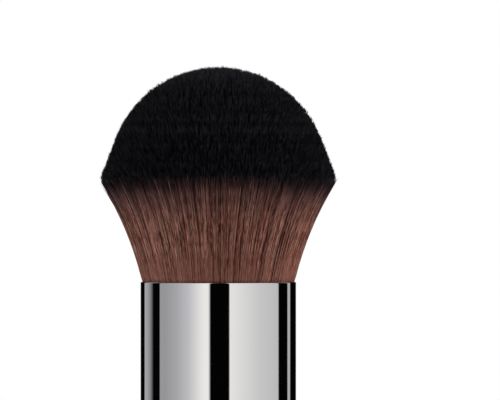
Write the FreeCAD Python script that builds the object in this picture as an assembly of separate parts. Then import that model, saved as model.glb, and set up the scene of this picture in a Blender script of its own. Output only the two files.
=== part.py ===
"""Short kabuki makeup brush: a domed tuft of fine filaments in a bright ferrule on a short black handle.

Units are millimetres. +Z is up, along the brush. The origin is the centre of the flat base that it stands on.
"""

import FreeCAD
import Part

import math
import os

# Overall sizes
HANDLE_LENGTH = 32.0
FERRULE_LENGTH = 36.0
TUFT_LENGTH = 38.5

# Ferrule: a drawn tube, the edges of its mouth rounded, crimped on the handle by two pressed rings
FERRULE_DIAMETER = 28.0
FERRULE_WALL = 0.5
LIP_ROUNDING = 0.2
CRIMP_COUNT = 2
CRIMP_WIDTH = 1.8
CRIMP_DEPTH = 0.45
CRIMP_PITCH = 3.2
CRIMP_START = 4.0

# Tuft above the lip: a hollow flare, a rounded shoulder and a domed crown
TUFT_WIDEST_DIAMETER = 42.2
TUFT_WIDEST_HEIGHT = 18.5
FLARE_RADIUS = 60.0
SHOULDER_RADIUS = 2.5
CROWN_STEP = 1.35
MOUTH_STEP = 0.25
MOUTH_HEIGHT = 0.45

# Locks: the filaments cling together and leave fine slits between them
LOCK_COUNT = 48
SLIT_WIDTH = 0.35
SLIT_DEPTH_AT_SHOULDER = 0.6
SLIT_DEPTH_ON_CROWN = 0.25
SLIT_INNER_RADIUS = 9.0

# Cup that the roots are potted in, hung below the lip and standing on the tenon
CUP_BELOW_LIP = 7.0
CUP_WALL = 0.8
CUP_FLOOR = 1.2
CUP_RIM_ABOVE_THREAD = 1.15
RESIN_DEPTH = 4.5
ROOT_EMBED = 3.0

# Binding: one thread wound round the roots, above the resin
THREAD_DIAMETER = 0.6
THREAD_PITCH = 1.05
THREAD_TURNS = 5
THREAD_ABOVE_RESIN = 0.3

# Handle: waisted, with a tenon up into the ferrule and a blind bore from below
HANDLE_TOP_STEP = 0.3
HANDLE_WAIST_DIAMETER = 24.8
HANDLE_WAIST_HEIGHT = 15.0
HANDLE_BASE_DIAMETER = 26.4
HANDLE_BASE_ROUNDING = 1.6
HANDLE_TOP_ROUNDING = 0.2
TENON_CHAMFER = 0.6

# Balance weight in the bore, and the plug that shuts the bore
WEIGHT_DIAMETER = 12.0
WEIGHT_LENGTH = 28.0
WEIGHT_CHAMFER = 0.6
PLUG_RIM_WIDTH = 1.1
PLUG_FLANGE_THICKNESS = 1.5
PLUG_BOSS_LENGTH = 4.5

# Clearances
FIT_GAP = 0.05
BOND_GAP = 0.02
THREAD_GAP = 0.1
NECK_GAP = 0.1
WEIGHT_END_GAP = 0.3

# Radii that follow from the sizes above
FERRULE_RADIUS = FERRULE_DIAMETER / 2
FERRULE_BORE_RADIUS = FERRULE_RADIUS - FERRULE_WALL
TENON_RADIUS = FERRULE_BORE_RADIUS - FIT_GAP
CUP_INNER_RADIUS = TENON_RADIUS - CUP_WALL
THREAD_RADIUS = CUP_INNER_RADIUS - THREAD_GAP - THREAD_DIAMETER / 2
ROOT_RADIUS = THREAD_RADIUS - THREAD_DIAMETER / 2 - FIT_GAP
HANDLE_TOP_RADIUS = FERRULE_RADIUS - HANDLE_TOP_STEP
HANDLE_BASE_RADIUS = HANDLE_BASE_DIAMETER / 2
BASE_FLAT_RADIUS = HANDLE_BASE_RADIUS - HANDLE_BASE_ROUNDING
PLUG_FLANGE_RADIUS = BASE_FLAT_RADIUS - PLUG_RIM_WIDTH
WEIGHT_RADIUS = WEIGHT_DIAMETER / 2
TUFT_WIDEST_RADIUS = TUFT_WIDEST_DIAMETER / 2
CROWN_RADIUS = TUFT_WIDEST_RADIUS - CROWN_STEP

# Heights that follow from the sizes above
LIP_Z = HANDLE_LENGTH + FERRULE_LENGTH
LIP_ROUND_Z = LIP_Z - LIP_ROUNDING
WIDEST_Z = LIP_Z + TUFT_WIDEST_HEIGHT
CROWN_CENTRE_Z = LIP_Z + TUFT_LENGTH - CROWN_RADIUS
THREAD_STACK = THREAD_PITCH * THREAD_TURNS + THREAD_DIAMETER
THREAD_CLIMB = THREAD_PITCH / (2 * math.pi * THREAD_RADIUS)
CUP_TOP_Z = LIP_Z - CUP_BELOW_LIP
THREAD_FOOT_Z = CUP_TOP_Z - CUP_RIM_ABOVE_THREAD - THREAD_STACK
RESIN_TOP_Z = THREAD_FOOT_Z - THREAD_ABOVE_RESIN
ROOT_FOOT_Z = RESIN_TOP_Z - ROOT_EMBED
CUP_FLOOR_Z = RESIN_TOP_Z - RESIN_DEPTH
TENON_TOP_Z = CUP_FLOOR_Z - CUP_FLOOR
PLUG_TOP_Z = PLUG_FLANGE_THICKNESS + PLUG_BOSS_LENGTH
WEIGHT_TOP_Z = PLUG_TOP_Z + WEIGHT_LENGTH

UP = FreeCAD.Vector(0, 0, 1)


def at(radius, height):
    """A point of a profile, in the XZ plane."""
    return FreeCAD.Vector(radius, 0, height)


def run(*points):
    """Straight edges from each point to the next."""
    return [Part.LineSegment(a, b).toShape() for a, b in zip(points, points[1:])]


def arc(start, middle, end):
    return Part.Arc(start, middle, end).toShape()


def corner_arc(centre, radius, from_degrees, to_degrees):
    """An arc of a profile about its centre, from one angle to another."""
    points = []
    for degrees in (from_degrees, (from_degrees + to_degrees) / 2, to_degrees):
        angle = math.radians(degrees)
        points.append(centre + at(math.cos(angle), math.sin(angle)) * radius)
    return arc(*points)


def spun(edges):
    """The solid that a closed profile sweeps in one turn about the brush's axis."""
    face = Part.Face(Part.Wire(Part.__sortEdges__(edges)))
    return face.revolve(at(0, 0), UP, 360)


def crimped_wall(radius, top, half_width):
    """A wall at that radius, from the ferrule's foot up to top, with the pressed rings dipping inwards."""
    edges = []
    below = at(radius, HANDLE_LENGTH)
    for i in range(CRIMP_COUNT):
        height = HANDLE_LENGTH + CRIMP_START + CRIMP_PITCH * i
        ring_foot = at(radius, height - half_width)
        ring_top = at(radius, height + half_width)
        edges += run(below, ring_foot)
        edges.append(arc(ring_foot, at(radius - CRIMP_DEPTH, height), ring_top))
        below = ring_top
    return edges + run(below, at(radius, top))


def ferrule():
    """The drawn tube: an outer and an inner wall, joined by the rounded lip and the cut foot."""
    outer_round = at(FERRULE_RADIUS - LIP_ROUNDING, LIP_ROUND_Z)
    inner_round = at(FERRULE_BORE_RADIUS + LIP_ROUNDING, LIP_ROUND_Z)
    edges = crimped_wall(FERRULE_RADIUS, LIP_ROUND_Z, CRIMP_WIDTH / 2)
    edges.append(corner_arc(outer_round, LIP_ROUNDING, 0, 90))
    edges += run(at(outer_round.x, LIP_Z), at(inner_round.x, LIP_Z))
    edges.append(corner_arc(inner_round, LIP_ROUNDING, 90, 180))
    edges += crimped_wall(FERRULE_BORE_RADIUS, LIP_ROUND_Z, CRIMP_WIDTH / 2)
    edges += run(at(FERRULE_BORE_RADIUS, HANDLE_LENGTH), at(FERRULE_RADIUS, HANDLE_LENGTH))
    return spun(edges)


def flare_centre(mouth, shoulder_centre):
    """The centre of the flare's arc, which starts at the mouth and runs smoothly into the shoulder."""
    line = shoulder_centre - mouth
    reach = FLARE_RADIUS + SHOULDER_RADIUS
    along = (FLARE_RADIUS**2 - reach**2 + line.Length**2) / (2 * line.Length)
    aside = math.sqrt(FLARE_RADIUS**2 - along**2)
    line.normalize()
    outwards = at(line.z, -line.x)
    return mouth + line * along + outwards * aside


def flare_and_crown(mouth, widest_radius, crown_radius):
    """The tuft's outline above its mouth: the flare, the shoulder, a straight run and the crown's arc."""
    shoulder_centre = at(widest_radius - SHOULDER_RADIUS, WIDEST_Z)
    centre = flare_centre(mouth, shoulder_centre)
    flare_end = shoulder_centre + (centre - shoulder_centre).normalize() * SHOULDER_RADIUS
    flare_middle = centre + (mouth + flare_end - centre * 2).normalize() * FLARE_RADIUS
    crown_centre = at(0, CROWN_CENTRE_Z)
    between = shoulder_centre - crown_centre
    tilt = math.atan2(between.z, between.x) + math.acos((crown_radius - SHOULDER_RADIUS) / between.Length)
    lean = at(math.cos(tilt), math.sin(tilt))
    shoulder_end = shoulder_centre + lean * SHOULDER_RADIUS
    crown_foot = crown_centre + lean * crown_radius
    return [
        arc(mouth, flare_middle, flare_end),
        arc(flare_end, at(widest_radius, WIDEST_Z), shoulder_end),
        *run(shoulder_end, crown_foot),
        corner_arc(crown_centre, crown_radius, math.degrees(tilt), 90),
    ]


def tuft_body(shoulder_depth, crown_depth):
    """The tuft's solid, drawn in by those depths at its shoulder and on its crown."""
    neck_radius = FERRULE_BORE_RADIUS - NECK_GAP
    mouth = at(FERRULE_RADIUS - MOUTH_STEP, LIP_Z + MOUTH_HEIGHT)
    edges = run(
        at(0, LIP_Z + TUFT_LENGTH - crown_depth),
        at(0, ROOT_FOOT_Z),
        at(ROOT_RADIUS, ROOT_FOOT_Z),
        at(ROOT_RADIUS, CUP_TOP_Z),
        at(neck_radius, LIP_ROUND_Z),
        at(neck_radius, LIP_Z + NECK_GAP),
        mouth,
    )
    edges += flare_and_crown(mouth, TUFT_WIDEST_RADIUS - shoulder_depth, CROWN_RADIUS - crown_depth)
    return spun(edges)


def bristle_tuft():
    """The whole bundle of filaments, slit into locks from above the mouth to high on the crown."""
    core = tuft_body(SLIT_DEPTH_AT_SHOULDER, SLIT_DEPTH_ON_CROWN)
    blade_corner = FreeCAD.Vector(SLIT_INNER_RADIUS, -SLIT_WIDTH / 2, LIP_Z + MOUTH_HEIGHT)
    blade = Part.makeBox(TUFT_WIDEST_RADIUS, SLIT_WIDTH, TUFT_LENGTH, blade_corner)
    slit = blade.cut(core)
    slits = []
    for i in range(LOCK_COUNT):
        turned = slit.copy()
        turned.rotate(at(0, 0), UP, 360 / LOCK_COUNT * (i + 0.5))
        slits.append(turned)
    return tuft_body(0, 0).cut(slits)


def biarc(start, start_way, end, end_way):
    """Two arcs that leave start along start_way, meet smoothly and reach end along end_way."""
    chord = end - start
    ways = start_way + end_way
    bend = 2 * (1 - start_way.dot(end_way))
    along = chord.dot(ways)
    leg = (math.sqrt(along**2 + bend * chord.dot(chord)) - along) / bend
    first_apex = start + start_way * leg
    second_apex = end - end_way * leg
    join = (first_apex + second_apex) / 2
    return [tangent_arc(start, first_apex, join), tangent_arc(join, second_apex, end)]


def tangent_arc(start, apex, end):
    """The arc from start to end whose tangents there cross at the apex."""
    middle = (start + end) / 2
    half_chord = (end - start).Length / 2
    rise = apex - middle
    half_angle = math.atan2(rise.Length, half_chord)
    return arc(start, middle + rise.normalize() * half_chord * math.tan(half_angle / 2), end)


def winding_path(foot_z):
    """A helix as biarcs, one for each quarter turn."""
    stations = []
    for quarter in range(4 * THREAD_TURNS + 1):
        angle = quarter * math.pi / 2
        outwards = FreeCAD.Vector(math.cos(angle), math.sin(angle), 0)
        place = outwards * THREAD_RADIUS + UP * (foot_z + THREAD_PITCH * quarter / 4)
        way = UP.cross(outwards) + UP * THREAD_CLIMB
        stations.append((place, way.normalize()))
    edges = []
    for (start, start_way), (end, end_way) in zip(stations, stations[1:]):
        edges += biarc(start, start_way, end, end_way)
    return Part.Wire(edges)


def least_gap(path):
    """The least gap from a wound tube to its own next turn, measured on points along its path."""
    per_turn = 72
    points = path.discretize(per_turn * THREAD_TURNS + 1)
    gaps = []
    for i, point in enumerate(points):
        gaps += [point.distanceToPoint(other) for other in points[i + per_turn // 2 :]]
    return min(gaps) - THREAD_DIAMETER


def binding_thread():
    """The thread wound round the roots, as one unbroken tube."""
    path = winding_path(THREAD_FOOT_Z + THREAD_DIAMETER / 2)
    print(f"binding_thread: least gap to itself {least_gap(path):.2f} mm")
    start = path.Vertexes[0].Point
    way = FreeCAD.Vector(0, 1, THREAD_CLIMB)
    section = Part.Wire(Part.Circle(start, way, THREAD_DIAMETER / 2).toShape())
    pipe = Part.BRepOffsetAPI.MakePipeShell(path)
    pipe.add(section)
    pipe.build()
    pipe.makeSolid()
    return pipe.shape()


def root_resin():
    """The cast resin that bonds the root ends into the cup."""
    outer = CUP_INNER_RADIUS - BOND_GAP
    pocket = ROOT_RADIUS + BOND_GAP
    edges = run(
        at(0, CUP_FLOOR_Z),
        at(outer, CUP_FLOOR_Z),
        at(outer, RESIN_TOP_Z),
        at(pocket, RESIN_TOP_Z),
        at(pocket, ROOT_FOOT_Z),
        at(0, ROOT_FOOT_Z),
        at(0, CUP_FLOOR_Z),
    )
    return spun(edges)


def tuft_cup():
    """The moulded cup that holds the potted roots and stands on the tenon, inside the ferrule."""
    edges = run(
        at(0, TENON_TOP_Z),
        at(TENON_RADIUS, TENON_TOP_Z),
        at(TENON_RADIUS, CUP_TOP_Z),
        at(CUP_INNER_RADIUS, CUP_TOP_Z),
        at(CUP_INNER_RADIUS, CUP_FLOOR_Z),
        at(0, CUP_FLOOR_Z),
        at(0, TENON_TOP_Z),
    )
    return spun(edges)


def handle_side():
    """The handle's outline from its flat base, round the base's edge, up the waist to the top edge."""
    base_round_z = HANDLE_BASE_ROUNDING
    top_round_z = HANDLE_LENGTH - HANDLE_TOP_ROUNDING
    base = at(HANDLE_BASE_RADIUS, base_round_z)
    waist = at(HANDLE_WAIST_DIAMETER / 2, HANDLE_WAIST_HEIGHT)
    top = at(HANDLE_TOP_RADIUS, top_round_z)
    return [
        corner_arc(at(BASE_FLAT_RADIUS, base_round_z), HANDLE_BASE_ROUNDING, -90, 0),
        arc(base, waist, top),
        corner_arc(at(HANDLE_TOP_RADIUS - HANDLE_TOP_ROUNDING, top_round_z), HANDLE_TOP_ROUNDING, 0, 90),
    ]


def handle():
    """The waisted grip and its tenon, with a blind bore and a recess for the plug in its base."""
    chamfer_z = TENON_TOP_Z - TENON_CHAMFER
    bore_radius = WEIGHT_RADIUS + FIT_GAP
    bore_end_z = WEIGHT_TOP_Z + WEIGHT_END_GAP
    recess_radius = PLUG_FLANGE_RADIUS + FIT_GAP
    edges = handle_side()
    edges += run(at(HANDLE_TOP_RADIUS - HANDLE_TOP_ROUNDING, HANDLE_LENGTH), at(TENON_RADIUS, HANDLE_LENGTH))
    edges += crimped_wall(TENON_RADIUS, chamfer_z, CRIMP_WIDTH / 2 + FIT_GAP)
    edges += run(
        at(TENON_RADIUS, chamfer_z),
        at(TENON_RADIUS - TENON_CHAMFER, TENON_TOP_Z),
        at(0, TENON_TOP_Z),
        at(0, bore_end_z),
        at(bore_radius, bore_end_z),
        at(bore_radius, PLUG_FLANGE_THICKNESS),
        at(recess_radius, PLUG_FLANGE_THICKNESS),
        at(recess_radius, 0),
        at(BASE_FLAT_RADIUS, 0),
    )
    return spun(edges)


def balance_weight():
    """A turned slug, chamfered at both ends, which stands on the plug's boss."""
    slug = Part.makeCylinder(WEIGHT_RADIUS, WEIGHT_LENGTH, at(0, PLUG_TOP_Z))
    rims = [edge for edge in slug.Edges if edge.Closed]
    return slug.makeChamfer(WEIGHT_CHAMFER, rims)


def base_plug():
    """A flanged plug: the flange lies flush in the base, and the boss is pressed into the bore."""
    flange = Part.makeCylinder(PLUG_FLANGE_RADIUS, PLUG_FLANGE_THICKNESS)
    boss = Part.makeCylinder(WEIGHT_RADIUS, PLUG_TOP_Z)
    return flange.fuse(boss).removeSplitter()


PIECES = (bristle_tuft, binding_thread, root_resin, tuft_cup, ferrule, handle, balance_weight, base_plug)


def main():
    os.makedirs("parts", exist_ok=True)
    for piece in PIECES:
        piece().exportStep(f"parts/{piece.__name__}.step")


main()
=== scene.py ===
"""Looks of the short kabuki makeup brush: filaments, bright ferrule, black handle and the studio."""

import math

import bpy
import numpy as np
from mathutils.kdtree import KDTree
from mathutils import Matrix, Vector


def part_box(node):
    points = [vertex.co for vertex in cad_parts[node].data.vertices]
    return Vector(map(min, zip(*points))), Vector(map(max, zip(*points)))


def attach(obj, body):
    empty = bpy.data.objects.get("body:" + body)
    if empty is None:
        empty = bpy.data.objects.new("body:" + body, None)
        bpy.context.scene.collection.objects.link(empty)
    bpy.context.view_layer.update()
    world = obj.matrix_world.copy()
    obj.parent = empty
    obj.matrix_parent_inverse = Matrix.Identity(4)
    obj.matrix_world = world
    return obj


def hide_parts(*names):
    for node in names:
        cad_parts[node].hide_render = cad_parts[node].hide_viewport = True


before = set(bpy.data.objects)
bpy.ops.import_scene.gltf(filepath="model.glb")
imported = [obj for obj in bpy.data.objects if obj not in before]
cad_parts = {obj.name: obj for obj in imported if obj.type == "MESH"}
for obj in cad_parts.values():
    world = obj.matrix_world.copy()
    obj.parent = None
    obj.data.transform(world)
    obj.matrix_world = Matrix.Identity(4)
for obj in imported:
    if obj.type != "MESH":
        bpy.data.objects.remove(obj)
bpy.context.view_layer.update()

MM = 0.001

# Heights and radii of the brush, from the frame
LIP_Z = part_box("ferrule")[1][2]
FERRULE_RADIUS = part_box("ferrule")[1][0]
FERRULE_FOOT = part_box("ferrule")[0][2]
TUFT_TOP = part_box("bristle_tuft")[1][2] - LIP_Z
WIDEST_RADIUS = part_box("bristle_tuft")[1][0]

# Outline of the tuft, with heights counted from the lip
WIDEST_HEIGHT = 18.5 * MM
FLARE_RADIUS = 60.0 * MM
CROWN_RADIUS = WIDEST_RADIUS - 1.35 * MM
SHOULDER_RADIUS = 2.5 * MM
NECK_RADIUS = FERRULE_RADIUS - 0.65 * MM
MOUTH_RADIUS = FERRULE_RADIUS - 0.25 * MM
MOUTH_HEIGHT = 0.25 * MM
ROOT_HEIGHT = -0.8 * MM

# Points along the dome, and how many times fewer the shoulder and the straight run below the dome have
DOME_POINTS = 120
CORE_DOME_POINTS = 24
FEWER_POINTS = 6

# Dense heart of the tuft, set inside the filaments and left flat on top, inside its least radius
CORE_INSET = 1.0 * MM
CORE_SKIRT_INSET = 1.6 * MM
CORE_SKIRT_FOOT = 1.0 * MM
CORE_SKIRT_RINGS = 10
CORE_DROP = 0.5 * MM
CORE_LEAST_RADIUS = 2.0 * MM
CORE_SIDES = 64

# Ferrule's tube
FERRULE_WALL = 0.5 * MM
LIP_ROUNDING = 0.2 * MM
LIP_RINGS = 10
CRIMP_COUNT = 2
CRIMP_START = 4.0 * MM
CRIMP_PITCH = 3.2 * MM
CRIMP_WIDTH = 1.8 * MM
CRIMP_DEPTH = 0.45 * MM
CRIMP_ROUND = (CRIMP_WIDTH**2 / 4 + CRIMP_DEPTH**2) / (2 * CRIMP_DEPTH)
CRIMP_RINGS = 15
CRISP_EDGE = 0.02 * MM
MERGE_DISTANCE = CRISP_EDGE / 10
TUBE_SIDES = 256

# Filaments: the outer ones are whole, and those of the crown are drawn as far down as they show
FILAMENT_COUNT = 52000
FILAMENT_RADIUS = 0.068 * MM
FILAMENT_SIZES = (0.75, 1.2)
SIDES = 3
SECTORS = 4
SEED = 20
WHOLE_FROM = 0.86
WHOLE_RINGS = (0, 0.1, 0.21, 0.32, 0.43, 0.55, 0.66, 0.78, 0.89, 1)
SHORT_RINGS = (0, 0.75, 1)
SHORT_LENGTH = 8.0 * MM
TIP_SIZE = 0.4
TAPER_LENGTH = 3.0 * MM
TIP_RISE = 0.05 * MM
TIP_SPREAD = 0.1 * MM

# How filaments gather into wisps and wisps into locks, and how far in or out a lock lies, as a share
SKIRT_WISPS = 4000
SKIRT_WISP_PULL = 0.4
SKIRT_LOCKS = 1600
SKIRT_LOCK_PULL = 0.6
LOCK_LIFT = 0.01
LOCK_LIFT_MOST = 0.004
CROWN_WISPS = 7000
CROWN_WISP_PULL = 0.35
CROWN_WISP_SPREAD = 0.1 * MM

# How wisps and single filaments bow, weave and lean, in full from a height above the lip
WISP_SWAY = 0.06 * MM
STRAND_SWAY = 0.05 * MM
STRAND_WEAVE = 0.014
STRAND_LEAN = 0.012
BOW_WAVES = (0.3, 0.8)
FREE_HEIGHT = 5.0 * MM
LEAST_BOW_RADIUS = 2.0 * MM

# A few pale hairs that stand off the skirt, more so towards their tips
LOOSE_COUNT = 70
LOOSE_SHARES = (0.98, 1)
LOOSE_TIPS = (-2.0 * MM, 2.0 * MM)
LOOSE_LEAN = 0.02
LOOSE_STRAY = 0.022
LOOSE_CURL = 3
LOOSE_TONES = (0.6, 1)

# Each filament's column on the filaments' map: its tone, from dark to light, and its dye level.
# The higher that level, the higher up the dye starts and is full
TONE_LEVELS = 16
DYE_LEVELS = 8
COLUMNS = TONE_LEVELS * DYE_LEVELS
COLUMN_MARGIN = 0.1

# The map's name, the heights at its bottom and top, and how tall a filament's flat ends are on it
MAP_NAME = "OFBake"
MAP_LOW = -1.0 * MM
MAP_HIGH = TUFT_TOP + 1.0 * MM
END_ON_MAP = 1 / 512

# Tones: the middle one, and the spreads of filaments, wisps and locks, with what is added at the sides
# as painted highlights and shade from the side lamps. A filament counts as fully at the side from a share of
# the radius
MIDDLE_TONE = 0.5
STRAND_TONES = 0.26
PAINTED_SIDE_LIGHT_TONES = 0.07
WISP_TONES = 0.06
LOCK_TONES = 0.03
PAINTED_SIDE_LIGHT_LOCK_TONES = 0.12
CROWN_TONES = 0.38
CROWN_WISP_TONES = 0.08
FULL_SIDE = 0.9

# Dye levels: the inner filaments', set lower so that their dye also paints shade into the gaps between
# locks, how much higher the outermost ones' are, how much less so at the sides, and their spread
INNER_DYE_AND_SHADE = 0.1
OUTER_DYE = 0.75
DYE_AT_SIDE = 0.22
DYE_SPREAD = 0.05
OUTER_SHARES = (0.92, 0.97)
CROWN_DYE = 0.4

# Heights above the lip, in mm, where the dye fades out, over the lower half of the dye levels,
# and where it is full, over their upper half
DYE_FADES = (6.0, 8.6)
DYE_FULL = (19.8, 25.0)

# Filament colours by tone, the tints that tell neighbours apart, and the tint of brown under thin dye
BROWN = ((0, (0.05, 0.012, 0.0075)), (0.5, (0.195, 0.075, 0.053)), (1, (0.36, 0.178, 0.139)))
BLACK = ((0, (0.0004, 0.0004, 0.0005)), (0.5, (0.0013, 0.0014, 0.0026)), (1, (0.0196, 0.0185, 0.0228)))
RED_TINT = (1.07, 0.95, 0.93)
TAN_TINT = (0.93, 1.05, 1.07)
PLUM_TINT = (0.25, 0.3, 0.45)

# How much dye makes the brown plum all through, and how much starts and ends its turn to black
PLUM_DYE = 0.75
BLACK_DYE = (0.55, 0.9)

# Painted glints: lighter and darker stretches painted along a filament in place of its highlights: how
# strong, how long in mm, how far apart two columns read them, and the span of their noise that is used
GLINT = 0.5
GLINT_LENGTH = 1.4
GLINT_SHIFT = 5.7
GLINT_SPAN = (0.25, 0.75)

# Close to the lip the tones are more even: heights in mm where that ends, and the share of the spread left
EVEN_HEIGHTS = (1.0, 7.0)
EVEN_SPREAD = 0.4

# Share of the brown's spread of tones that is left under full dye
DYED_SPREAD = 0.2

# Painted light: the top of the crown is painted lighter: heights in mm, and how much lighter the tone is
PAINTED_TOP_LIGHT_HEIGHTS = (32.5, 38.0)
PAINTED_TOP_LIGHT = 0.4

# Gloss of the filaments, and the finish of the tuft's heart with the heights where its dye starts and is full
FILAMENT_ROUGHNESS = 0.5
FILAMENT_GLOSS = 0.12
CORE_ROUGHNESS = 0.9
CORE_GRAIN = 900
# The heart's brown is darker than the filaments': painted shade that shows in the gaps between them
CORE_SHADE_BROWN = ((0.3, (0.03, 0.012, 0.009)), (0.7, (0.06, 0.025, 0.02)))
CORE_BLACK = (0.003, 0.003, 0.0032)
CORE_DYE = (LIP_Z + 12 * MM, LIP_Z + 18 * MM)

# Plating and lacquer: tints, the fineness of their clouds, and roughness where clean, where smudged
# and added by scratches
PLATING_TINTS = ((0.3, (0.92, 0.92, 0.93)), (0.7, (0.94, 0.94, 0.94)))
PLATING_CLOUDS = 40
PLATING_ROUGHNESS = (0.03, 0.06, 0.05)
LACQUER_TINTS = ((0.3, (0.003, 0.003, 0.0032)), (0.7, (0.006, 0.006, 0.0063)))
LACQUER_CLOUDS = 60
LACQUER_ROUGHNESS = (0.04, 0.09, 0.12)
RIPPLE_GRAIN = 500
RIPPLE_DEPTH = 0.02 * MM
RIPPLE_STRENGTH = 0.15

# Marks of use: their fineness, and the span of the noise over which they come to show in full
SMUDGE_GRAIN = 110
SMUDGE_SPAN = (0.5, 0.75)
SCRATCH_GRAIN = 60
SCRATCH_SPAN = (0.72, 0.76)
SCRATCH_STRETCH = (1.5, 1.5, 60)
SCRATCH_TURN = (0.25, 0.15, 0)

# Moulded, cast and waxed pieces: the finish's name, dark and light colour, fineness of grain and roughness
MOULDINGS = {
    "base_plug": ("plug_moulding", (0.014, 0.014, 0.0145), (0.026, 0.026, 0.027), 2600, 0.55),
    "tuft_cup": ("cup_moulding", (0.09, 0.09, 0.09), (0.13, 0.13, 0.13), 1800, 0.5),
    "root_resin": ("cast_resin", (0.36, 0.22, 0.08), (0.48, 0.32, 0.14), 300, 0.25),
    "binding_thread": ("waxed_thread", (0.5, 0.46, 0.38), (0.66, 0.62, 0.54), 4000, 0.7),
}
GRAIN_SPAN = (0.3, 0.7)
GRAIN_ROUGHNESS = (0.85, 1.15)
GRAIN_DEPTH = 0.04 * MM
GRAIN_STRENGTH = 0.4

# Turned steel of the weight
STEEL_TINTS = ((0.3, (0.38, 0.38, 0.37)), (0.7, (0.52, 0.52, 0.51)))
STEEL_ROUGHNESS = (0.28, 0.4)
TOOL_RINGS = 40
TOOL_RING_STRETCH = (0.5, 0.5, 90)

# Camera, level in front of the brush
CAMERA_PLACE = (0.0057, -1.0, LIP_Z + 0.0147)
CAMERA_SENSOR = 36
CAMERA_LENS = 400
CAMERA_REACH = 20

# Soft lamps: azimuth from the camera's side, positive to the right, elevation and power
LAMPS = {
    "left_softbox": (-60, 20, 4.05),
    "right_softbox": (60, 20, 4.5),
    "top_softbox": (180, 72, 4.4),
}
LAMP_DISTANCE = 0.9
LAMP_SIZE = 0.7
WORLD_LIGHT = 0.35
WHITE = (1, 1, 1, 1)

# Pale floor, and the distances over which it fades into the white
FLOOR_RADIUS = 1.1
FLOOR_SIDES = 96
FLOOR_COLOUR = (0.85, 0.85, 0.85, 1)
FLOOR_ROUGHNESS = 0.8
FLOOR_FADES = (0.1, 0.5)

# Ring of cards that the bright pieces mirror
CARD_RADIUS = 0.06
CARD_HEIGHT = 1.0
CARD_SIDES = 360

# Each card: from and to in degrees of azimuth, its brightness at both ends and its tint
EDGE = 0.6
DARK = 0.001
COOL = (1, 0.985, 1.025)
WARM = (1, 0.99, 0.97)
PLAIN = (1, 1, 1)
CARDS = (
    (-180, -158, 0.6, 0.6, PLAIN),
    (-158 + EDGE, -128.5, DARK, DARK, PLAIN),
    (-128.5 + EDGE, -114.6, 0.42, 0.325, COOL),
    (-108.6, -101.2, 0.22, DARK, COOL),
    (-101, -87.1, DARK, DARK, PLAIN),
    (-87.1 + EDGE, -77, 0.33, 0.32, COOL),
    (-57, -39, 0.4, 0.54, COOL),
    (-23, -16.3, 0.8, 0.875, WARM),
    (-13.7, -10.9 - EDGE, 0.86, 0.82, WARM),
    (-10.9, 14.2, DARK, DARK, PLAIN),
    (14.2 + EDGE, 29.4, 0.825, 0.75, WARM),
    (58.3, 90.5 - EDGE, 0.59, 0.52, PLAIN),
    (90.5, 112.7, DARK, DARK, PLAIN),
    (112.7 + EDGE, 122.1 - EDGE, 0.41, 0.45, COOL),
    (122.1, 158 - EDGE, DARK, DARK, PLAIN),
    (158, 180, 0.6, 0.6, PLAIN),
)


# Outline of the tuft: a point is one number, its radius plus its height above the lip times 1j

MOUTH = complex(MOUTH_RADIUS, MOUTH_HEIGHT)
SHOULDER = complex(WIDEST_RADIUS - SHOULDER_RADIUS, WIDEST_HEIGHT)
CROWN_CENTRE = complex(0, TUFT_TOP - CROWN_RADIUS)


def flare_centre():
    """Centre of the flare's arc, which starts at the mouth and runs smoothly into the shoulder."""
    line = SHOULDER - MOUTH
    reach = FLARE_RADIUS + SHOULDER_RADIUS
    along = (FLARE_RADIUS**2 - reach**2 + abs(line) ** 2) / (2 * abs(line))
    aside = math.sqrt(FLARE_RADIUS**2 - along**2)
    return MOUTH + line / abs(line) * complex(along, -aside)


FLARE_CENTRE = flare_centre()
FLARE_END = SHOULDER + (FLARE_CENTRE - SHOULDER) / abs(FLARE_CENTRE - SHOULDER) * SHOULDER_RADIUS


def flare(height):
    """Radius of the outermost filaments at a height, carried on straight above the flare's end."""
    on_arc = np.clip(height, MOUTH_HEIGHT, FLARE_END.imag)
    radius = FLARE_CENTRE.real - np.sqrt(FLARE_RADIUS**2 - (on_arc - FLARE_CENTRE.imag) ** 2)
    slope = (FLARE_END.imag - FLARE_CENTRE.imag) / (FLARE_CENTRE.real - FLARE_END.real)
    above = np.maximum(height - FLARE_END.imag, 0) * slope
    below = np.clip((MOUTH_HEIGHT - height) / MOUTH_HEIGHT, 0, 1)
    return radius + above - below * (MOUTH_RADIUS - NECK_RADIUS)


def crown_outline(points):
    """Radius and height along the crown, from its top down to the straight run and round the shoulder."""
    between = SHOULDER - CROWN_CENTRE
    tilt = np.angle(between) + math.acos((CROWN_RADIUS - SHOULDER_RADIUS) / abs(between))
    dome = CROWN_CENTRE + CROWN_RADIUS * np.exp(1j * np.linspace(math.pi / 2, tilt, points))
    turn = np.linspace(tilt, np.angle(FLARE_CENTRE - SHOULDER), points // FEWER_POINTS)
    shoulder = SHOULDER + SHOULDER_RADIUS * np.exp(1j * turn)
    run = np.linspace(dome[-1], shoulder[0], points // FEWER_POINTS)[1:-1]
    outline = np.concatenate([dome, run, shoulder])
    return outline.real, outline.imag


def crown_tips(rng, count):
    """Radius and height of tips spread evenly over the crown's surface."""
    radius, height = crown_outline(DOME_POINTS)
    band = np.hypot(np.diff(radius), np.diff(height)) * (radius[1:] + radius[:-1]) / 2
    along = np.concatenate([[0], np.cumsum(band)])
    pick = rng.uniform(0, along[-1], count)
    return np.interp(pick, along, radius), np.interp(pick, along, height)


# Lines of the filaments


def smooth(low, high, value):
    """0 below a span, 1 above it and a soft step between."""
    t = np.clip((value - low) / (high - low), 0, 1)
    return t * t * (3 - 2 * t)


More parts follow.
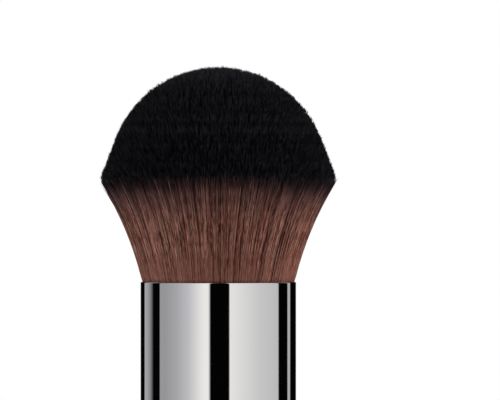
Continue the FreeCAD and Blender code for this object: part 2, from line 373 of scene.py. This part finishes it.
def nearest(places, centres):
    """Which of the centres is nearest to each place."""
    tree = KDTree(len(centres))
    for i, centre in enumerate(centres):
        tree.insert(centre, i)
    tree.balance()
    return np.array([tree.find(place)[1] for place in places])


def at_azimuth(radius, azimuth, height):
    """Points at a radius, an azimuth and a height."""
    return np.stack([radius * np.cos(azimuth), radius * np.sin(azimuth), height], -1)


def turned_by(azimuth, target):
    """The target azimuth, written so that it is less than half a turn away."""
    return azimuth + (target - azimuth + math.pi) % (2 * math.pi) - math.pi


def gather(rng, azimuth, radius, height, groups, pull):
    """Azimuths drawn towards those of scattered group centres, and the number of each one's group."""
    places = at_azimuth(radius, azimuth, height)
    centres = places[rng.choice(len(places), groups, replace=False)]
    group = nearest(places, centres)
    moved = places + (centres[group] - places) * pull
    return turned_by(azimuth, np.arctan2(moved[:, 1], moved[:, 0])), group


def bows(rng, count, rings, size):
    """Gentle bows along lines, inwards and sideways: one slow wave each, of its own size and phase."""
    size = rng.normal(0, size, (2, count, 1))
    waves = rng.uniform(*BOW_WAVES, (2, count, 1))
    phase = rng.uniform(0, 2 * math.pi, (2, count, 1))
    return size * np.sin(phase + 2 * math.pi * waves * np.array(rings))


def filament_lines(rng, azimuth, tip_azimuth, share, foot_h, tip_h, rings, wisp):
    """Centre lines from foot to tip, as (filament, ring, xyz). The filaments of a wisp sway together."""
    height = foot_h[:, None] + (tip_h - foot_h)[:, None] * np.array(rings)[None, :]
    along = smooth(0, 1, height / tip_h[:, None])
    turn = azimuth[:, None] + (tip_azimuth - azimuth)[:, None] * along
    weave = rng.normal(0, STRAND_WEAVE, len(wisp))[:, None] * (1 - along)
    radius = np.minimum(share[:, None] + weave, 1) * flare(height)
    wisp_bows = bows(rng, wisp.max() + 1, rings, WISP_SWAY)[:, wisp]
    inwards, sideways = wisp_bows + bows(rng, len(wisp), rings, STRAND_SWAY)
    free = smooth(0, FREE_HEIGHT, height)
    radius = radius - np.abs(inwards) * free
    turn = turn + sideways * free / np.maximum(radius, LEAST_BOW_RADIUS)
    return at_azimuth(radius, turn, LIP_Z + height)


def colour_column(tone, dye):
    """The column of the filaments' map that holds a tone and a dye level, both from 0 to 1."""
    tone_level = np.clip(tone * TONE_LEVELS, 0, TONE_LEVELS - 1).astype(int)
    dye_level = np.clip(dye * DYE_LEVELS, 0, DYE_LEVELS - 1).astype(int)
    return tone_level * DYE_LEVELS + dye_level


def skirt_colours(rng, azimuth, share, wisp, lock):
    """Colour columns of the outer filaments. At the sides their tones differ more, as painted highlights and
    shade from the side lamps.
    """
    count = len(azimuth)
    at_side = smooth(0, FULL_SIDE, np.abs(np.cos(azimuth)))
    outer = smooth(*OUTER_SHARES, share)
    # The spread added at the sides paints highlights and shade from the side lamps
    tone = MIDDLE_TONE + rng.normal(0, 1, count) * (STRAND_TONES + PAINTED_SIDE_LIGHT_TONES * at_side)
    tone = tone + rng.normal(0, WISP_TONES, SKIRT_WISPS)[wisp]
    tone = tone + rng.normal(0, 1, SKIRT_LOCKS)[lock] * (LOCK_TONES + PAINTED_SIDE_LIGHT_LOCK_TONES * at_side)
    # The inner filaments' lower dye also paints shade into the gaps between locks
    dye = INNER_DYE_AND_SHADE + outer * (OUTER_DYE - DYE_AT_SIDE * at_side)
    dye = dye + rng.normal(0, DYE_SPREAD, count) + rng.normal(0, DYE_SPREAD, SKIRT_WISPS)[wisp]
    return colour_column(tone, dye)


def whole_filaments(rng, azimuth, share, tip_h):
    """The outer filaments, from inside the lip to their tips, gathered into wisps and locks."""
    count = len(azimuth)
    around = np.full(count, WIDEST_RADIUS)
    gathered, wisp = gather(rng, azimuth, around * share, around, SKIRT_WISPS, SKIRT_WISP_PULL)
    gathered, lock = gather(rng, gathered, around * share, around, SKIRT_LOCKS, SKIRT_LOCK_PULL)
    gathered = turned_by(azimuth, gathered) + rng.normal(0, STRAND_LEAN, count)
    lift = np.minimum(rng.normal(0, LOCK_LIFT, SKIRT_LOCKS), LOCK_LIFT_MOST)[lock]
    foot_h = np.full(count, ROOT_HEIGHT)
    lines = filament_lines(rng, azimuth, gathered, share * (1 + lift), foot_h, tip_h, WHOLE_RINGS, wisp)
    return lines, skirt_colours(rng, azimuth, share, wisp, lock)


def short_filaments(rng, azimuth, share, tip_r, tip_h):
    """The filaments that make the crown, as far down as they show."""
    count = len(azimuth)
    gathered, wisp = gather(rng, azimuth, tip_r, tip_h, CROWN_WISPS, CROWN_WISP_PULL)
    tip_h = tip_h + rng.normal(0, CROWN_WISP_SPREAD, CROWN_WISPS)[wisp]
    lines = filament_lines(rng, azimuth, gathered, share, tip_h - SHORT_LENGTH, tip_h, SHORT_RINGS, wisp)
    tone = MIDDLE_TONE + rng.normal(0, CROWN_TONES, count)
    tone = tone + rng.normal(0, CROWN_WISP_TONES, CROWN_WISPS)[wisp]
    return lines, colour_column(tone, np.full(count, CROWN_DYE))


def loose_filaments(rng):
    """A few pale hairs that stand off the skirt."""
    azimuth = rng.uniform(-math.pi, math.pi, LOOSE_COUNT)
    share = rng.uniform(*LOOSE_SHARES, LOOSE_COUNT)
    tip_h = FLARE_END.imag + rng.uniform(*LOOSE_TIPS, LOOSE_COUNT)
    foot_h = np.full(LOOSE_COUNT, ROOT_HEIGHT)
    lean = azimuth + rng.normal(0, LOOSE_LEAN, LOOSE_COUNT)
    own_wisps = np.arange(LOOSE_COUNT)
    lines = filament_lines(rng, azimuth, lean, share, foot_h, tip_h, WHOLE_RINGS, own_wisps)
    stray = rng.uniform(0, LOOSE_STRAY, LOOSE_COUNT)[:, None] * np.array(WHOLE_RINGS) ** LOOSE_CURL
    lines[:, :, :2] *= 1 + stray[:, :, None]
    return lines, colour_column(rng.uniform(*LOOSE_TONES, LOOSE_COUNT), np.ones(LOOSE_COUNT))


# Strands along the lines


def strand_points(lines, thickness, spin):
    """Corner points of each strand, ring by ring, tapered to its tip."""
    reach = np.linalg.norm(lines - lines[:, -1:], axis=2)
    taper = TIP_SIZE + (1 - TIP_SIZE) * smooth(0, TAPER_LENGTH, reach)
    corner = spin[:, None] + np.arange(SIDES) * 2 * math.pi / SIDES
    ring = np.stack([np.cos(corner), np.sin(corner), np.zeros_like(corner)], 2)
    size = thickness[:, None] * taper
    points = lines[:, :, None, :] + size[:, :, None, None] * ring[:, None, :, :]
    return points.reshape(-1, 3)


def strand_faces(count, rings):
    """Corner numbers of the faces along all strands, and of the faces that close their feet and tips."""
    first = np.arange(count)[:, None, None] * rings * SIDES
    low = first + np.arange(rings - 1)[None, :, None] * SIDES
    side = np.arange(SIDES)[None, None, :]
    after = (side + 1) % SIDES
    walls = np.stack([low + side, low + after, low + SIDES + after, low + SIDES + side], 3)
    feet = first[:, 0, :] + np.arange(SIDES)[::-1]
    tips = first[:, 0, :] + (rings - 1) * SIDES + np.arange(SIDES)
    return walls.reshape(-1, 4), np.concatenate([feet, tips])


def strand_map(lines, column):
    """Places of all face corners on the filaments' map: the colour's column across and the height up."""
    count, rings, _ = lines.shape
    left = (column + COLUMN_MARGIN) / COLUMNS
    right = (column + 1 - COLUMN_MARGIN) / COLUMNS
    height = (lines[:, :, 2] - LIP_Z - MAP_LOW) / (MAP_HIGH - MAP_LOW)
    low = height[:, :-1]
    high = height[:, 1:]
    wall_u = np.stack([left, right, right, left], 1)[:, None, None, :]
    wall_v = np.stack([low, low, high, high], 2)[:, :, None, :]
    end_u = np.stack([left, right, (left + right) / 2], 1)
    end_v = np.array([0, 0, END_ON_MAP])
    walls = (count, rings - 1, SIDES, 4)
    across = (np.broadcast_to(wall_u, walls), end_u, end_u)
    up = (np.broadcast_to(wall_v, walls), height[:, :1] + end_v, height[:, -1:] + end_v)
    return np.stack([np.concatenate([part.ravel() for part in parts]) for parts in (across, up)], 1)


def filament_mesh(name, lines, thickness, column, spin):
    """One piece of closed, tapered strands along the lines, with their own map."""
    points = strand_points(lines, thickness, spin)
    walls, ends = strand_faces(*lines.shape[:2])
    corners = np.concatenate([walls.ravel(), ends.ravel()])
    sizes = np.repeat([walls.shape[1], SIDES], [len(walls), len(ends)])
    starts = np.concatenate([[0], np.cumsum(sizes)[:-1]])
    mesh = bpy.data.meshes.new(name)
    mesh.vertices.add(len(points))
    mesh.vertices.foreach_set("co", points.astype(np.float32).ravel())
    mesh.loops.add(len(corners))
    mesh.loops.foreach_set("vertex_index", corners.astype(np.int32))
    mesh.polygons.add(len(sizes))
    mesh.polygons.foreach_set("loop_start", starts.astype(np.int32))
    mesh.update(calc_edges=True)
    mesh.polygons.foreach_set("use_smooth", np.ones(len(sizes), bool))
    own_map = mesh.uv_layers.new(name=MAP_NAME)
    own_map.data.foreach_set("uv", strand_map(lines, column).astype(np.float32).ravel())
    mesh.validate()
    piece = bpy.data.objects.new(name, mesh)
    bpy.context.scene.collection.objects.link(piece)
    return piece


def finish_tuft_piece(piece, material):
    """Give a piece of the tuft its finish and its place in the brush."""
    piece.data.materials.append(material)
    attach(piece, "root")
    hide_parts("bristle_tuft")


def add_strands(rng, kind, lines, column, material):
    """Strands along the lines, as a few pieces side by side round the brush."""
    thickness = FILAMENT_RADIUS * rng.uniform(*FILAMENT_SIZES, len(column))
    spin = rng.uniform(0, 2 * math.pi, len(column))
    azimuth = np.arctan2(lines[:, -1, 1], lines[:, -1, 0])
    sector = np.clip((azimuth / (2 * math.pi) + 0.5) * SECTORS, 0, SECTORS - 1).astype(int)
    for i in range(SECTORS):
        own = sector == i
        name = f"{kind}_filaments_{i + 1}"
        finish_tuft_piece(filament_mesh(name, lines[own], thickness[own], column[own], spin[own]), material)


def add_filaments(material):
    """All filaments: the skirt of whole and loose ones, and the crown."""
    rng = np.random.default_rng(SEED)
    tip_r, tip_h = crown_tips(rng, FILAMENT_COUNT)
    share = tip_r / flare(tip_h)
    tip_h = tip_h + rng.normal(TIP_RISE, TIP_SPREAD, FILAMENT_COUNT)
    azimuth = rng.uniform(-math.pi, math.pi, FILAMENT_COUNT)
    whole = share > WHOLE_FROM
    short = ~whole
    skirt = whole_filaments(rng, azimuth[whole], share[whole], tip_h[whole])
    loose = loose_filaments(rng)
    lines, column = (np.concatenate(pair) for pair in zip(skirt, loose))
    add_strands(rng, "skirt", lines, column, material)
    lines, column = short_filaments(rng, azimuth[short], share[short], tip_r[short], tip_h[short])
    add_strands(rng, "crown", lines, column, material)


# Round pieces


def draw_up(name, stations, sides, foot):
    """A round shape drawn up ring by ring, through radii and heights above the lip."""
    bpy.ops.object.select_all(action="DESELECT")
    foot_r, foot_h = stations[0]
    bpy.ops.mesh.primitive_circle_add(
        vertices=sides, radius=foot_r, fill_type=foot, location=(0, 0, LIP_Z + foot_h)
    )
    piece = bpy.context.object
    piece.name = piece.data.name = name
    bpy.ops.object.transform_apply(location=True)
    bpy.ops.object.mode_set(mode="EDIT")
    for (r, h), (next_r, next_h) in zip(stations, stations[1:]):
        bpy.ops.mesh.extrude_region_move(TRANSFORM_OT_translate={"value": (0, 0, next_h - h)})
        bpy.ops.transform.resize(value=(next_r / r, next_r / r, 1), center_override=(0, 0, LIP_Z + next_h))
    bpy.ops.mesh.select_all(action="SELECT")
    bpy.ops.mesh.remove_doubles(threshold=MERGE_DISTANCE)
    bpy.ops.mesh.normals_make_consistent(inside=False)
    bpy.ops.object.mode_set(mode="OBJECT")
    bpy.ops.object.shade_smooth()
    return piece


def add_core(material):
    """The dense heart of the bundle, drawn up inside the filaments."""
    radius, height = crown_outline(CORE_DOME_POINTS)
    skirt = np.linspace(CORE_SKIRT_FOOT, WIDEST_HEIGHT - CORE_INSET, CORE_SKIRT_RINGS)
    crown = [(r, h) for r, h in zip(radius[::-1], height[::-1]) if r > CORE_LEAST_RADIUS]
    stations = [(NECK_RADIUS - CORE_INSET, ROOT_HEIGHT)]
    stations += [(flare(h) - CORE_SKIRT_INSET, h) for h in skirt]
    stations += [(r - CORE_INSET, h - CORE_DROP) for r, h in crown]
    stations = [(r, h) for r, h in stations if r <= flare(h) - CORE_INSET]
    core = draw_up("tuft_core", stations, CORE_SIDES, "NGON")
    finish_tuft_piece(core, material)


def crimped_wall(radius):
    """Radii and heights up one wall of the tube, from its foot past the crimps to the lip's rounding."""
    foot = FERRULE_FOOT - LIP_Z
    wall = [(radius, foot), (radius, foot + CRISP_EDGE)]
    half = math.asin(CRIMP_WIDTH / 2 / CRIMP_ROUND)
    for i in range(CRIMP_COUNT):
        middle = foot + CRIMP_START + CRIMP_PITCH * i
        wall.append((radius, middle - CRIMP_WIDTH / 2 - CRISP_EDGE))
        for turn in np.linspace(-half, half, CRIMP_RINGS):
            dent = CRIMP_ROUND * math.cos(turn) - CRIMP_ROUND + CRIMP_DEPTH
            wall.append((radius - dent, middle + CRIMP_ROUND * math.sin(turn)))
        wall.append((radius, middle + CRIMP_WIDTH / 2 + CRISP_EDGE))
    wall.append((radius, -LIP_ROUNDING - CRISP_EDGE))
    return wall


def rounded_edge(centre, start):
    """Radii and heights round one edge of the lip, a quarter turn on from the start."""
    edge = []
    for turn in np.linspace(start, start + math.pi / 2, LIP_RINGS):
        edge.append((centre + LIP_ROUNDING * math.cos(turn), LIP_ROUNDING * (math.sin(turn) - 1)))
    return edge


def add_ferrule(material):
    """The drawn tube: up its outer wall, over the lip, down its inner wall and back along the cut foot."""
    bore = FERRULE_RADIUS - FERRULE_WALL
    outer = crimped_wall(FERRULE_RADIUS)
    inner = crimped_wall(bore)
    lip = rounded_edge(FERRULE_RADIUS - LIP_ROUNDING, 0) + rounded_edge(bore + LIP_ROUNDING, math.pi / 2)
    tube = draw_up("ferrule_tube", outer + lip + inner[::-1] + outer[:1], TUBE_SIDES, "NOTHING")
    tube.data.materials.append(material)
    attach(tube, "root")
    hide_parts("ferrule")


# Shader nodes


def bare_material(name):
    """A material with nothing but its output."""
    material = bpy.data.materials.new(name)
    material.use_nodes = True
    tree = material.node_tree
    tree.nodes.clear()
    return material, tree, tree.nodes.new("ShaderNodeOutputMaterial")


def new_material(name):
    """A material with one shader for its finish."""
    material, tree, out = bare_material(name)
    shader = tree.nodes.new("ShaderNodeBsdfPrincipled")
    tree.links.new(shader.outputs["BSDF"], out.inputs["Surface"])
    return material, tree, shader


def feed(tree, socket, value):
    """Set a socket to a number, or link it to another node's output."""
    if isinstance(value, (int, float)):
        socket.default_value = value
    else:
        tree.links.new(value, socket)


def math_node(tree, operation, *values):
    node = tree.nodes.new("ShaderNodeMath")
    node.operation = operation
    for socket, value in zip(node.inputs, values):
        feed(tree, socket, value)
    return node.outputs[0]


def range_node(tree, value, low, high, to_low, to_high, smoothly=False):
    node = tree.nodes.new("ShaderNodeMapRange")
    node.interpolation_type = "SMOOTHSTEP" if smoothly else "LINEAR"
    names = ("Value", "From Min", "From Max", "To Min", "To Max")
    for name, setting in zip(names, (value, low, high, to_low, to_high)):
        feed(tree, node.inputs[name], setting)
    return node.outputs["Result"]


def ramp_node(tree, value, stops):
    node = tree.nodes.new("ShaderNodeValToRGB")
    elements = node.color_ramp.elements
    while len(elements) < len(stops):
        elements.new(1.0)
    for element, (place, colour) in zip(elements, stops):
        element.position = place
        element.color = (*colour, 1)
    tree.links.new(value, node.inputs["Fac"])
    return node.outputs["Color"]


def mix_colours(tree, factor, first, second, blend="MIX"):
    node = tree.nodes.new("ShaderNodeMix")
    node.data_type = "RGBA"
    node.blend_type = blend
    feed(tree, node.inputs[0], factor)
    for socket, colour in ((node.inputs[6], first), (node.inputs[7], second)):
        if isinstance(colour, tuple):
            socket.default_value = (*colour, 1)
        else:
            tree.links.new(colour, socket)
    return node.outputs[2]


def place_parts(tree, place):
    """The X, Y and Z of a place."""
    parts = tree.nodes.new("ShaderNodeSeparateXYZ")
    tree.links.new(place, parts.inputs[0])
    return parts.outputs


def noise_node(tree, scale, detail=2, stretch=(1, 1, 1), turn=(0, 0, 0)):
    """Noise in the brush's own space, stretched and turned as a whole."""
    place = tree.nodes.new("ShaderNodeTexCoord")
    mapping = tree.nodes.new("ShaderNodeMapping")
    mapping.inputs["Scale"].default_value = stretch
    mapping.inputs["Rotation"].default_value = turn
    noise = tree.nodes.new("ShaderNodeTexNoise")
    noise.inputs["Scale"].default_value = scale
    noise.inputs["Detail"].default_value = detail
    tree.links.new(place.outputs["Object"], mapping.inputs["Vector"])
    tree.links.new(mapping.outputs["Vector"], noise.inputs["Vector"])
    return noise.outputs["Fac"]


def relief(tree, shader, height, depth, strength):
    """Fine relief on a finish, as a bump of that depth."""
    bump = tree.nodes.new("ShaderNodeBump")
    bump.inputs["Distance"].default_value = depth
    bump.inputs["Strength"].default_value = strength
    tree.links.new(height, bump.inputs["Height"])
    tree.links.new(bump.outputs["Normal"], shader.inputs["Normal"])


# Finishes of the tuft


def glint_noise(tree, column, height):
    """Noise that runs along each column of the filaments' map by itself."""
    place = tree.nodes.new("ShaderNodeCombineXYZ")
    tree.links.new(math_node(tree, "MULTIPLY", column, GLINT_SHIFT), place.inputs["X"])
    tree.links.new(math_node(tree, "MULTIPLY", height, 1 / GLINT_LENGTH), place.inputs["Y"])
    noise = tree.nodes.new("ShaderNodeTexNoise")
    noise.noise_dimensions = "2D"
    noise.inputs["Scale"].default_value = 1
    noise.inputs["Detail"].default_value = 1
    tree.links.new(place.outputs[0], noise.inputs["Vector"])
    return noise.outputs["Fac"]


def narrowed(tree, tone, share):
    """The tone drawn towards the middle one, so that only a share of its spread is left."""
    away = math_node(tree, "SUBTRACT", tone, MIDDLE_TONE)
    return math_node(tree, "MULTIPLY_ADD", away, share, MIDDLE_TONE)


def filament_tone(tree, tone_level, column, height):
    """A filament's tone with its painted glints, more even close to the lip."""
    tone = range_node(tree, tone_level, 0, TONE_LEVELS - 1, 0, 1)
    # Painted glints: lighter and darker stretches along each filament in place of its highlights
    glints = range_node(tree, glint_noise(tree, column, height), *GLINT_SPAN, -GLINT, GLINT)
    spread = range_node(tree, height, *EVEN_HEIGHTS, EVEN_SPREAD, 1, smoothly=True)
    return narrowed(tree, math_node(tree, "ADD", tone, glints), spread)


def filament_dye(tree, column, height):
    """How far a filament is dyed at a height, from 0 to 1."""
    dye_level = math_node(tree, "MODULO", column, DYE_LEVELS)
    start = range_node(tree, dye_level, 0, DYE_LEVELS / 2 - 1, *DYE_FADES)
    end = range_node(tree, dye_level, DYE_LEVELS / 2, DYE_LEVELS - 1, *DYE_FULL)
    return range_node(tree, height, start, end, 0, 1, smoothly=True)


def filament_finish():
    """Warm brown filaments of uneven tone, dyed black towards the tips along an uneven edge."""
    material, tree, shader = new_material("dyed_filament")
    place = tree.nodes.new("ShaderNodeUVMap")
    place.uv_map = MAP_NAME
    parts = place_parts(tree, place.outputs["UV"])
    height = range_node(tree, parts["Y"], 0, 1, MAP_LOW / MM, MAP_HIGH / MM)
    column = math_node(tree, "FLOOR", math_node(tree, "MULTIPLY", parts["X"], COLUMNS))
    tone_level = math_node(tree, "FLOOR", math_node(tree, "DIVIDE", column, DYE_LEVELS))
    tone = filament_tone(tree, tone_level, column, height)
    dyed = filament_dye(tree, column, height)

    calm = range_node(tree, dyed, 0, 1, 1, DYED_SPREAD)
    brown = ramp_node(tree, narrowed(tree, tone, calm), BROWN)
    tint = mix_colours(tree, math_node(tree, "MODULO", tone_level, 2), TAN_TINT, RED_TINT)
    brown = mix_colours(tree, 1, brown, tint, blend="MULTIPLY")
    plum = mix_colours(tree, 1, brown, PLUM_TINT, blend="MULTIPLY")
    stained = mix_colours(tree, range_node(tree, dyed, 0, PLUM_DYE, 0, 1), brown, plum)
    # Painted top light: the tone is lifted towards the top of the crown
    painted_top_light = range_node(tree, height, *PAINTED_TOP_LIGHT_HEIGHTS, 0, PAINTED_TOP_LIGHT)
    black = ramp_node(tree, math_node(tree, "ADD", tone, painted_top_light), BLACK)
    colour = mix_colours(tree, range_node(tree, dyed, *BLACK_DYE, 0, 1), stained, black)
    tree.links.new(colour, shader.inputs["Base Color"])
    shader.inputs["Roughness"].default_value = FILAMENT_ROUGHNESS
    shader.inputs["Specular IOR Level"].default_value = FILAMENT_GLOSS
    return material


def core_finish():
    """The depth of the bundle: black dye over a brown darker than the filaments', as painted shade."""
    material, tree, shader = new_material("bundle_depth")
    place = tree.nodes.new("ShaderNodeTexCoord")
    height = place_parts(tree, place.outputs["Object"])["Z"]
    dyed = range_node(tree, height, *CORE_DYE, 0, 1, smoothly=True)
    # Darker brown of the heart: painted shade
    brown = ramp_node(tree, noise_node(tree, CORE_GRAIN), CORE_SHADE_BROWN)
    tree.links.new(mix_colours(tree, dyed, brown, CORE_BLACK), shader.inputs["Base Color"])
    shader.inputs["Roughness"].default_value = CORE_ROUGHNESS
    shader.inputs["Specular IOR Level"].default_value = 0
    return material


# Finishes of the ferrule, the handle and the inner pieces


def handling_marks():
    """Marks that plating and lacquer share: soft smudges and hairline scratches, from 0 to 1."""
    group = bpy.data.node_groups.new("handling_marks", "ShaderNodeTree")
    for name in ("Smudges", "Scratches"):
        group.interface.new_socket(name, in_out="OUTPUT", socket_type="NodeSocketFloat")
    out = group.nodes.new("NodeGroupOutput")
    clouds = noise_node(group, SMUDGE_GRAIN, detail=4)
    smudges = range_node(group, clouds, *SMUDGE_SPAN, 0, 1, smoothly=True)
    lines = noise_node(group, SCRATCH_GRAIN, detail=1, stretch=SCRATCH_STRETCH, turn=SCRATCH_TURN)
    scratches = range_node(group, lines, *SCRATCH_SPAN, 0, 1)
    group.links.new(smudges, out.inputs["Smudges"])
    group.links.new(scratches, out.inputs["Scratches"])
    return group


def marked_roughness(tree, marks, clean, smudged, scratched):
    """Roughness of a bright finish: clean, with a little more where it is smudged or scratched."""
    use = tree.nodes.new("ShaderNodeGroup")
    use.node_tree = marks
    haze = range_node(tree, use.outputs["Smudges"], 0, 1, clean, smudged)
    scratch = range_node(tree, use.outputs["Scratches"], 0, 1, 0, scratched)
    return math_node(tree, "ADD", haze, scratch)


def plating_finish(marks):
    """Bright polished plating."""
    material, tree, shader = new_material("bright_plating")
    tint = ramp_node(tree, noise_node(tree, PLATING_CLOUDS), PLATING_TINTS)
    tree.links.new(tint, shader.inputs["Base Color"])
    tree.links.new(marked_roughness(tree, marks, *PLATING_ROUGHNESS), shader.inputs["Roughness"])
    shader.inputs["Metallic"].default_value = 1
    return material


def lacquer_finish(marks):
    """Deep black gloss lacquer, very slightly rippled."""
    material, tree, shader = new_material("black_lacquer")
    tint = ramp_node(tree, noise_node(tree, LACQUER_CLOUDS), LACQUER_TINTS)
    tree.links.new(tint, shader.inputs["Base Color"])
    tree.links.new(marked_roughness(tree, marks, *LACQUER_ROUGHNESS), shader.inputs["Roughness"])
    relief(tree, shader, noise_node(tree, RIPPLE_GRAIN), RIPPLE_DEPTH, RIPPLE_STRENGTH)
    return material


def moulded_finish(name, dark, light, grain, roughness):
    """Moulded plastic, cast resin or waxed thread with a fine grain."""
    material, tree, shader = new_material(name)
    speckle = noise_node(tree, grain, detail=4)
    colour = ramp_node(tree, speckle, tuple(zip(GRAIN_SPAN, (dark, light))))
    smoother, rougher = (roughness * share for share in GRAIN_ROUGHNESS)
    tree.links.new(colour, shader.inputs["Base Color"])
    tree.links.new(range_node(tree, speckle, *GRAIN_SPAN, smoother, rougher), shader.inputs["Roughness"])
    relief(tree, shader, speckle, GRAIN_DEPTH, GRAIN_STRENGTH)
    return material


def turned_finish():
    """Turned steel with the tool's fine rings."""
    material, tree, shader = new_material("turned_steel")
    rings = noise_node(tree, TOOL_RINGS, detail=1, stretch=TOOL_RING_STRETCH)
    tree.links.new(ramp_node(tree, rings, STEEL_TINTS), shader.inputs["Base Color"])
    tree.links.new(range_node(tree, rings, *GRAIN_SPAN, *STEEL_ROUGHNESS), shader.inputs["Roughness"])
    shader.inputs["Metallic"].default_value = 1
    return material


def dress(node, material):
    """Put a finish on a node of the brush that keeps its own mesh."""
    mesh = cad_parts[node].data
    mesh.materials.clear()
    mesh.materials.append(material)


# Studio


def add_camera():
    camera = bpy.data.objects.new("camera", bpy.data.cameras.new("camera"))
    bpy.context.scene.collection.objects.link(camera)
    camera.data.sensor_width = CAMERA_SENSOR
    camera.data.lens = CAMERA_LENS
    camera.data.clip_end = CAMERA_REACH
    camera.location = CAMERA_PLACE
    camera.rotation_euler = (math.pi / 2, 0, 0)
    bpy.context.scene.camera = camera


def add_lamp(name, azimuth, elevation, power):
    """A square soft lamp aimed at the middle of the ferrule's lip."""
    lamp = bpy.data.lights.new(name, "AREA")
    lamp.size = LAMP_SIZE
    lamp.energy = power
    holder = bpy.data.objects.new(name, lamp)
    bpy.context.scene.collection.objects.link(holder)
    turn = math.radians(azimuth)
    lift = math.radians(elevation)
    flat = LAMP_DISTANCE * math.cos(lift)
    height = LIP_Z + LAMP_DISTANCE * math.sin(lift)
    holder.location = (flat * math.sin(turn), -flat * math.cos(turn), height)
    holder.rotation_euler = (math.pi / 2 - lift, 0, turn)
    holder.visible_glossy = False


def card_finish():
    """Light and dark cards that stand in a ring round the brush, by azimuth from the camera's side."""
    material, tree, out = bare_material("studio_cards")
    glow = tree.nodes.new("ShaderNodeEmission")
    tree.links.new(glow.outputs[0], out.inputs["Surface"])
    place = tree.nodes.new("ShaderNodeTexCoord")
    parts = place_parts(tree, place.outputs["Object"])
    toward = math_node(tree, "MULTIPLY", parts["Y"], -1)
    around = math_node(tree, "ARCTAN2", parts["X"], toward)
    stops = []
    for start, end, first, last, tint in CARDS:
        for azimuth, level in ((start, first), (end, last)):
            stops.append(((azimuth + 180) / 360, tuple(level * t for t in tint)))
    colour = ramp_node(tree, range_node(tree, around, -math.pi, math.pi, 0, 1), stops)
    tree.links.new(colour, glow.inputs["Color"])
    return material


def seen_ray(tree):
    """1 for rays that show the surroundings: straight to the camera, mirrored or through something clear."""
    ray = tree.nodes.new("ShaderNodeLightPath")
    shown = math_node(tree, "MAXIMUM", ray.outputs["Is Camera Ray"], ray.outputs["Is Glossy Ray"])
    return math_node(tree, "MAXIMUM", shown, ray.outputs["Is Transmission Ray"])


def floor_finish():
    """A pale matt floor that holds the brush's shadow and fades into the white farther away."""
    material, tree, out = bare_material("pale_floor")
    shader = tree.nodes.new("ShaderNodeBsdfPrincipled")
    shader.inputs["Base Color"].default_value = FLOOR_COLOUR
    shader.inputs["Roughness"].default_value = FLOOR_ROUGHNESS
    shader.inputs["Specular IOR Level"].default_value = 0
    white = tree.nodes.new("ShaderNodeEmission")
    white.inputs["Color"].default_value = WHITE
    place = tree.nodes.new("ShaderNodeTexCoord")
    distance = tree.nodes.new("ShaderNodeVectorMath")
    distance.operation = "LENGTH"
    tree.links.new(place.outputs["Object"], distance.inputs[0])
    away = range_node(tree, distance.outputs["Value"], *FLOOR_FADES, 0, 1, smoothly=True)
    mix = tree.nodes.new("ShaderNodeMixShader")
    tree.links.new(math_node(tree, "MULTIPLY", away, seen_ray(tree)), mix.inputs["Fac"])
    tree.links.new(shader.outputs["BSDF"], mix.inputs[1])
    tree.links.new(white.outputs[0], mix.inputs[2])
    tree.links.new(mix.outputs[0], out.inputs["Surface"])
    return material


def add_cards():
    """The ring of cards, seen only in mirror-like finishes."""
    bpy.ops.object.select_all(action="DESELECT")
    bpy.ops.mesh.primitive_cylinder_add(
        vertices=CARD_SIDES,
        radius=CARD_RADIUS,
        depth=CARD_HEIGHT,
        end_fill_type="NOTHING",
        location=(0, 0, CARD_HEIGHT / 2),
    )
    cards = bpy.context.object
    cards.name = "studio_cards"
    bpy.ops.object.transform_apply(location=True)
    cards.data.materials.append(card_finish())
    cards.visible_camera = False
    cards.visible_diffuse = False
    cards.visible_shadow = False
    return cards


def add_floor():
    """The pale floor that the brush stands on."""
    bpy.ops.object.select_all(action="DESELECT")
    bpy.ops.mesh.primitive_circle_add(
        vertices=FLOOR_SIDES, radius=FLOOR_RADIUS, fill_type="NGON", location=(0, 0, 0)
    )
    floor = bpy.context.object
    floor.name = "studio_floor"
    floor.data.materials.append(floor_finish())
    return floor


def add_studio():
    cards = add_cards()
    floor = add_floor()
    for name, lamp in LAMPS.items():
        add_lamp(name, *lamp)


def add_world():
    """White behind the brush and in its reflections, and a plain level of light from all round."""
    world = bpy.data.worlds.new("studio")
    bpy.context.scene.world = world
    world.use_nodes = True
    tree = world.node_tree
    tree.nodes.clear()
    out = tree.nodes.new("ShaderNodeOutputWorld")
    seen = tree.nodes.new("ShaderNodeBackground")
    light = tree.nodes.new("ShaderNodeBackground")
    seen.inputs["Color"].default_value = WHITE
    light.inputs["Color"].default_value = WHITE
    light.inputs["Strength"].default_value = WORLD_LIGHT
    mix = tree.nodes.new("ShaderNodeMixShader")
    tree.links.new(seen_ray(tree), mix.inputs["Fac"])
    tree.links.new(light.outputs[0], mix.inputs[1])
    tree.links.new(seen.outputs[0], mix.inputs[2])
    tree.links.new(mix.outputs[0], out.inputs["Surface"])


add_core(core_finish())
add_filaments(filament_finish())
marks = handling_marks()
add_ferrule(plating_finish(marks))
dress("handle", lacquer_finish(marks))
for node, moulding in MOULDINGS.items():
    dress(node, moulded_finish(*moulding))
dress("balance_weight", turned_finish())
add_camera()
add_studio()
add_world()
bpy.context.scene.view_settings.view_transform = "Standard"
